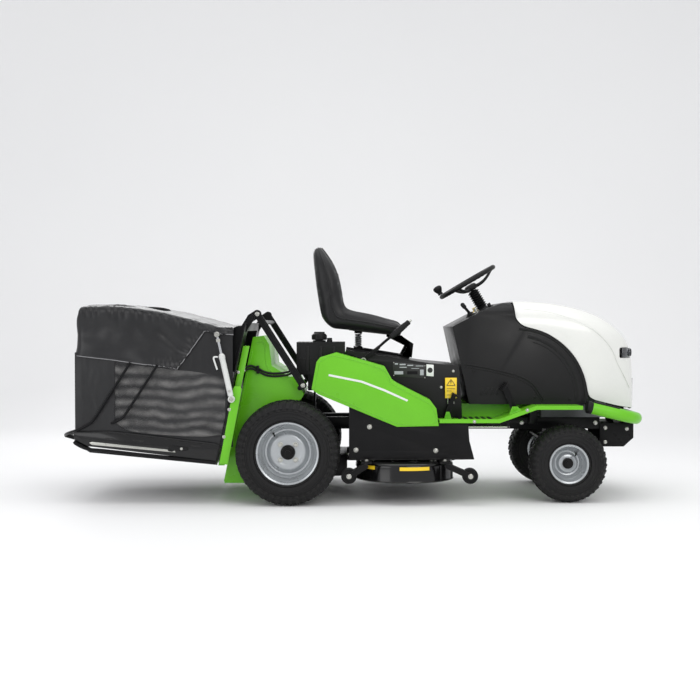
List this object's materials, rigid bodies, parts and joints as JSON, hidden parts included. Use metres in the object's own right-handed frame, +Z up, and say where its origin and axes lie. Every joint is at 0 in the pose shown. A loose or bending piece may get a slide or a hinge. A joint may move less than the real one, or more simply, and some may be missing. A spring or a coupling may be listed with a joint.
{
  "type": "riding lawn mower",
  "caption": "Ride-on lawn mower with mid cutting deck, bonnet over a front engine, sprung seat and a rear grass box that tips on two rams.",
  "frame": {"origin": "middle of the machine's length and width, on the ground", "axes": "+X forward, +Y to the driver's left, +Z up"},
  "size_m": [2.8904, 1.043, 1.284],
  "materials": {
    "chassis_black": "semi-gloss",
    "body_green": "gloss",
    "grained_black": "grained",
    "gloss_black": "gloss",
    "hood_white": "gloss",
    "tyre_rubber": "matte",
    "rim_silver": "satin",
    "engine_grey": "satin",
    "seat_vinyl": "satin",
    "zinc": "satin",
    "spring_steel": "satin",
    "hard_rubber": "matte",
    "lamp_lens": "gloss",
    "ram_white": "gloss",
    "ram_chrome": "polished",
    "cover_fabric": "coated",
    "mesh_fabric": "woven",
    "blade_steel": "ground"
  },
  "bodies": {
    "machine": {"chassis_frame": "chassis_black", "axle_hanger": "chassis_black", "front_plate": "chassis_black", "side_skirts": "chassis_black", "seat_tunnel": "grained_black", "side_cover_right": "body_green", "side_cover_left": "body_green", "footplate_right": "body_green", "footplate_left": "body_green", "dash_fairing": "grained_black", "bumper": "body_green", "fuel_tank": "grained_black", "engine": "engine_grey", "battery": "grained_black", "transaxle": "engine_grey", "discharge_duct": "grained_black", "chute_tower": "body_green", "bag_posts": "body_green", "brace_arms": "chassis_black", "hydraulic_hoses": "hard_rubber", "body_bolts": "zinc", "steering_column": "chassis_black"},
    "tank_cap": {"fuel_cap": "grained_black"},
    "hood": {"hood_shell": "hood_white", "hood_grille": "grained_black", "headlights": "lamp_lens"},
    "rear_wheel_right": {"rear_tyre_right": "tyre_rubber", "rear_rim_right": "rim_silver"},
    "rear_wheel_left": {"rear_tyre_left": "tyre_rubber", "rear_rim_left": "rim_silver"},
    "front_wheel_right": {"front_tyre_right": "tyre_rubber", "front_rim_right": "rim_silver"},
    "front_wheel_left": {"front_tyre_left": "tyre_rubber", "front_rim_left": "rim_silver"},
    "front_beam": {"front_axle": "chassis_black"},
    "steering_knuckle_right": {"knuckle_right": "chassis_black"},
    "steering_knuckle_left": {"knuckle_left": "chassis_black"},
    "track_rod": {"tie_rod": "chassis_black"},
    "hand_wheel": {"steering_wheel": "hard_rubber"},
    "spinner": {"steering_knob": "hard_rubber"},
    "seat_carriage": {"seat_slider": "chassis_black", "seat_springs": "spring_steel"},
    "seat_plate": {"seat_pan": "chassis_black"},
    "seat": {"seat_cushion": "seat_vinyl"},
    "deck": {"deck_shell": "gloss_black"},
    "cutter_right": {"blade_right": "blade_steel"},
    "cutter_left": {"blade_left": "blade_steel"},
    "front_rollers": {"deck_roller_front": "hard_rubber"},
    "rear_rollers": {"deck_roller_rear": "hard_rubber"},
    "height_lever": {"lift_lever": "chassis_black"},
    "go_pedal": {"drive_pedal": "chassis_black"},
    "stop_pedal": {"brake_pedal": "chassis_black"},
    "lock_pedal": {"heel_pedal": "chassis_black"},
    "hand_throttle": {"throttle_lever": "grained_black"},
    "grass_box": {"bag_frame": "chassis_black", "bag_tray": "grained_black", "bag_cover": "cover_fabric", "bag_mesh": "mesh_fabric"},
    "rams_lower": {"ram_barrels": "ram_white"},
    "rams_upper": {"ram_rods": "ram_chrome"}
  },
  "joints": [
    {"name": "rear_wheel_right_spin", "type": "hinge", "parent": "machine", "child": "rear_wheel_right", "pos_m": [-0.3255, -0.42, 0.253], "axis": [0, 1, 0], "continuous": true},
    {"name": "rear_wheel_left_spin", "type": "hinge", "parent": "machine", "child": "rear_wheel_left", "pos_m": [-0.3255, 0.42, 0.253], "axis": [0, 1, 0], "continuous": true},
    {"name": "front_axle_tilt", "type": "hinge", "parent": "machine", "child": "front_beam", "pos_m": [1.0475, 0, 0.2495], "axis": [1, 0, 0], "range_deg": [-6, 6]},
    {"name": "steer_right", "type": "hinge", "parent": "front_beam", "child": "steering_knuckle_right", "pos_m": [1.0475, -0.235, 0.1895], "axis": [0, 0, 1], "range_deg": [-33, 33]},
    {"name": "steer_left", "type": "hinge", "parent": "front_beam", "child": "steering_knuckle_left", "pos_m": [1.0475, 0.235, 0.1895], "axis": [0, 0, 1], "range_deg": [-33, 33]},
    {"name": "front_wheel_right_spin", "type": "hinge", "parent": "steering_knuckle_right", "child": "front_wheel_right", "pos_m": [1.0475, -0.34, 0.1895], "axis": [0, 1, 0], "continuous": true},
    {"name": "front_wheel_left_spin", "type": "hinge", "parent": "steering_knuckle_left", "child": "front_wheel_left", "pos_m": [1.0475, 0.34, 0.1895], "axis": [0, 1, 0], "continuous": true},
    {"name": "track_rod_swing", "type": "hinge", "parent": "steering_knuckle_right", "child": "track_rod", "pos_m": [0.9575, -0.235, 0.29], "axis": [0, 0, 1], "range_deg": [-33, 33]},
    {"name": "steering_wheel_turn", "type": "hinge", "parent": "machine", "child": "hand_wheel", "pos_m": [0.5885, 0, 1.095], "axis": [-0.5075, 0, 0.8616], "range_deg": [-264, 264]},
    {"name": "spinner_turn", "type": "hinge", "parent": "hand_wheel", "child": "spinner", "pos_m": [0.4571, 0, 1.0176], "axis": [-0.5075, 0, 0.8616], "continuous": true},
    {"name": "bonnet_open", "type": "hinge", "parent": "machine", "child": "hood", "pos_m": [1.4145, 0, 0.452], "axis": [0, 1, 0], "range_deg": [0, 60]},
    {"name": "seat_slide", "type": "slide", "parent": "machine", "child": "seat_carriage", "axis": [0.9869, 0, -0.1615], "range_m": [-0.04, 0.06]},
    {"name": "seat_suspension", "type": "hinge", "parent": "seat_carriage", "child": "seat_plate", "pos_m": [0.2845, 0, 0.768], "axis": [0, 1, 0], "range_deg": [-3, 0], "stiffness_Nm_per_rad": 1600, "springref_deg": 3.44, "deforming": ["seat_springs"]},
    {"name": "seat_fold", "type": "hinge", "parent": "seat_plate", "child": "seat", "pos_m": [0.2845, 0, 0.768], "axis": [0, 1, 0], "range_deg": [0, 60]},
    {"name": "deck_lift", "type": "slide", "parent": "machine", "child": "deck", "axis": [0, 0, 1], "range_m": [-0.075, 0]},
    {"name": "lift_lever_swing", "type": "hinge", "parent": "machine", "child": "height_lever", "pos_m": [0.0425, -0.29, 0.695], "axis": [0, 1, 0], "range_deg": [0, 25]},
    {"name": "blade_right_spin", "type": "hinge", "parent": "deck", "child": "cutter_right", "pos_m": [0.2485, -0.25, 0.15], "axis": [0, 0, 1], "continuous": true},
    {"name": "blade_left_spin", "type": "hinge", "parent": "deck", "child": "cutter_left", "pos_m": [0.2485, 0.25, 0.15], "axis": [0, 0, 1], "continuous": true},
    {"name": "front_rollers_spin", "type": "hinge", "parent": "deck", "child": "front_rollers", "pos_m": [0.5545, 0, 0.143], "axis": [0, 1, 0], "continuous": true},
    {"name": "rear_rollers_spin", "type": "hinge", "parent": "deck", "child": "rear_rollers", "pos_m": [-0.0295, 0, 0.143], "axis": [0, 1, 0], "continuous": true},
    {"name": "drive_pedal_press", "type": "hinge", "parent": "machine", "child": "go_pedal", "pos_m": [0.7885, -0.326, 0.456], "axis": [0, 1, 0], "range_deg": [0, 18], "stiffness_Nm_per_rad": 12, "springref_deg": -11.46},
    {"name": "brake_pedal_press", "type": "hinge", "parent": "machine", "child": "stop_pedal", "pos_m": [0.7885, 0.326, 0.456], "axis": [0, 1, 0], "range_deg": [0, 18], "stiffness_Nm_per_rad": 12, "springref_deg": -11.46},
    {"name": "heel_pedal_press", "type": "hinge", "parent": "machine", "child": "lock_pedal", "pos_m": [0.4605, -0.303, 0.43], "axis": [0, 1, 0], "range_deg": [0, 22], "stiffness_Nm_per_rad": 6, "springref_deg": -11.46},
    {"name": "throttle_swing", "type": "hinge", "parent": "machine", "child": "hand_throttle", "pos_m": [0.5825, -0.195, 0.927], "axis": [0, 1, 0], "range_deg": [-10, 35]},
    {"name": "tank_cap_turn", "type": "hinge", "parent": "machine", "child": "tank_cap", "pos_m": [-0.1795, -0.2, 0.8], "axis": [0, 0, 1], "range_deg": [0, 90]},
    {"name": "grass_box_tip", "type": "hinge", "parent": "machine", "child": "grass_box", "pos_m": [-0.5095, 0, 0.905], "axis": [0, 1, 0], "range_deg": [0, 75]},
    {"name": "ram_swing", "type": "hinge", "parent": "machine", "child": "rams_lower", "pos_m": [-0.5945, 0, 0.514], "axis": [0, 1, 0], "range_deg": [0, 9]},
    {"name": "ram_extend", "type": "slide", "parent": "rams_lower", "child": "rams_upper", "axis": [-0.2173, 0, 0.9761], "range_m": [0, 0.2028]}
  ],
  "couplings": [
    {"joint": "steer_left", "follows": "steer_right", "ratio": 1},
    {"joint": "track_rod_swing", "follows": "steer_right", "ratio": -1},
    {"joint": "steering_wheel_turn", "follows": "steer_right", "ratio": 8},
    {"joint": "lift_lever_swing", "follows": "deck_lift", "rad_per_m": -5.8},
    {"joint": "blade_left_spin", "follows": "blade_right_spin", "ratio": 1},
    {"joint": "ram_swing", "follows": "grass_box_tip", "ratio": 0.1187},
    {"joint": "ram_extend", "follows": "grass_box_tip", "m_per_rad": 0.1546}
  ]
}
